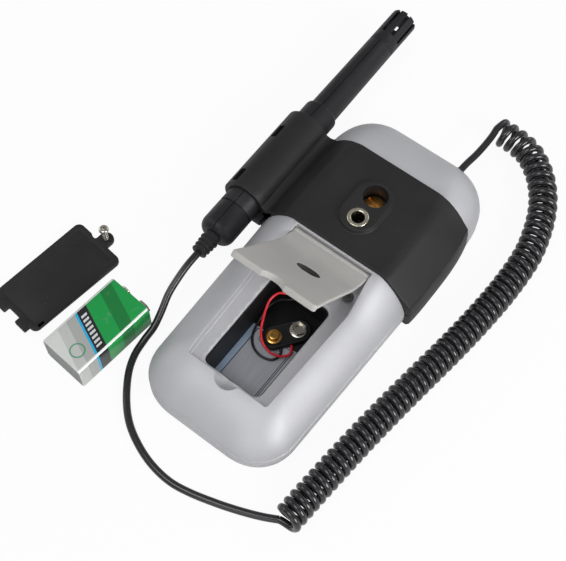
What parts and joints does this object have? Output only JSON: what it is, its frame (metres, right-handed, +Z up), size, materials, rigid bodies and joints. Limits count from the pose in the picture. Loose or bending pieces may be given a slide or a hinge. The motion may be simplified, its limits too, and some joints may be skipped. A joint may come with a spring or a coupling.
{
  "type": "digital thermo-hygrometer",
  "caption": "Handheld digital thermo-hygrometer lying face down, stand propped, battery out, with a sensor probe on a curly cord in its side holder.",
  "frame": {"origin": "on the meter's front face, which lies on the table, on the body's centre line, 83.5 mm from the battery end", "axes": "+Y along the meter towards the end where its cord leaves, +Z up through the meter's back, +X across, away from the probe"},
  "size_m": [0.2124, 0.2852, 0.0758],
  "materials": {
    "body_paint": "satin silver paint on moulded plastic",
    "band": "fine matt grain",
    "nickel": "turned and nickelled",
    "brass": "turned, bare",
    "stand": "satin",
    "compartment": "satin black",
    "floor_plate": "dark grey sheet",
    "snap_pad": "satin black vinyl",
    "snap_gold": "plated",
    "snap_nickel": "nickel plated",
    "red_wire": "smooth vinyl",
    "black_wire": "smooth vinyl",
    "cover": "fine matt grain",
    "screw_steel": "zinc plated",
    "battery_wrap": null,
    "battery_cap": "satin",
    "battery_terminal": "nickel plated",
    "battery_base": "grey metal end plate",
    "grommet": "matt",
    "cord": "smooth glossy vinyl",
    "relief": "satin",
    "probe": "fine matt grain",
    "circuit_board": "solder mask",
    "chip": "moulded epoxy",
    "window": "clear",
    "lcd_frame": "matt",
    "lcd": "glass face of the display",
    "zebra": "elastomer",
    "key": "satin",
    "key_red": "satin"
  },
  "bodies": {
    "meter": {"front_cover": "body_paint", "rear_cover": "body_paint", "holster_band": "band", "front_band": "band", "tripod_insert": "nickel", "lock_screw": "brass", "battery_box": "compartment", "floor_plate": "floor_plate", "snap_connector": "snap_pad", "snap_stud": "snap_gold", "snap_socket": "snap_nickel", "red_lead": "red_wire", "black_lead": "black_wire", "case_screws": "screw_steel", "cord_grommet": "grommet", "cord_lead": "cord", "curly_cord": "cord", "cord_tail": "cord", "main_board": "circuit_board", "main_chip": "chip", "key_switches": "chip", "lcd_window": "window", "lcd_frame": "lcd_frame", "lcd_module": "lcd", "zebra_strips": "zebra"},
    "stand": {"stand": "stand"},
    "probe": {"strain_relief": "relief", "probe_shell_right": "probe", "probe_shell_left": "probe", "sensor_cap": "probe", "sensor_board": "circuit_board", "sensor_chip": "chip"},
    "power_key": {"key_power": "key_red"},
    "light_key": {"key_light": "key"},
    "hold_key": {"key_hold": "key"},
    "max_min_key": {"key_max_min": "key"},
    "unit_key": {"key_unit": "key"},
    "battery": {"battery_can": "battery_wrap", "battery_cap": "battery_cap", "battery_stud": "battery_terminal", "battery_socket": "battery_terminal", "battery_base": "battery_base"},
    "battery_door": {"battery_cover": "cover"},
    "door_screw": {"cover_screw": "screw_steel"}
  },
  "joints": [
    {"name": "stand_hinge", "type": "hinge", "parent": "meter", "child": "stand", "pos_m": [0, 0.0226, 0.0286], "axis": [1, 0, 0], "range_deg": [-3, 47.1]},
    {"name": "probe_slide", "type": "slide", "parent": "meter", "child": "probe", "axis": [-0.014, 0.9999, 0], "range_m": [0, 0.012]},
    {"name": "power_press", "type": "slide", "parent": "meter", "child": "power_key", "axis": [0, 0, 1], "range_m": [0, 0.0008], "stiffness_N_per_m": 300, "springref_m": -0.0002},
    {"name": "light_press", "type": "slide", "parent": "meter", "child": "light_key", "axis": [0, 0, 1], "range_m": [0, 0.0008], "stiffness_N_per_m": 300, "springref_m": -0.0002},
    {"name": "hold_press", "type": "slide", "parent": "meter", "child": "hold_key", "axis": [0, 0, 1], "range_m": [0, 0.0008], "stiffness_N_per_m": 300, "springref_m": -0.0002},
    {"name": "max_min_press", "type": "slide", "parent": "meter", "child": "max_min_key", "axis": [0, 0, 1], "range_m": [0, 0.0008], "stiffness_N_per_m": 300, "springref_m": -0.0002},
    {"name": "unit_press", "type": "slide", "parent": "meter", "child": "unit_key", "axis": [0, 0, 1], "range_m": [0, 0.0008], "stiffness_N_per_m": 300, "springref_m": -0.0002},
    {"name": "battery_lift", "type": "slide", "parent": "meter", "child": "battery", "axis": [0, 0, 1], "range_m": [0, 0.03]},
    {"name": "door_lift", "type": "slide", "parent": "meter", "child": "battery_door", "axis": [0, 0, 1], "range_m": [0, 0.03]},
    {"name": "door_screw_turn", "type": "hinge", "parent": "battery_door", "child": "door_screw", "pos_m": [-0.10573, -0.02888, 0.006], "axis": [0, 0, 1], "continuous": true}
  ]
}
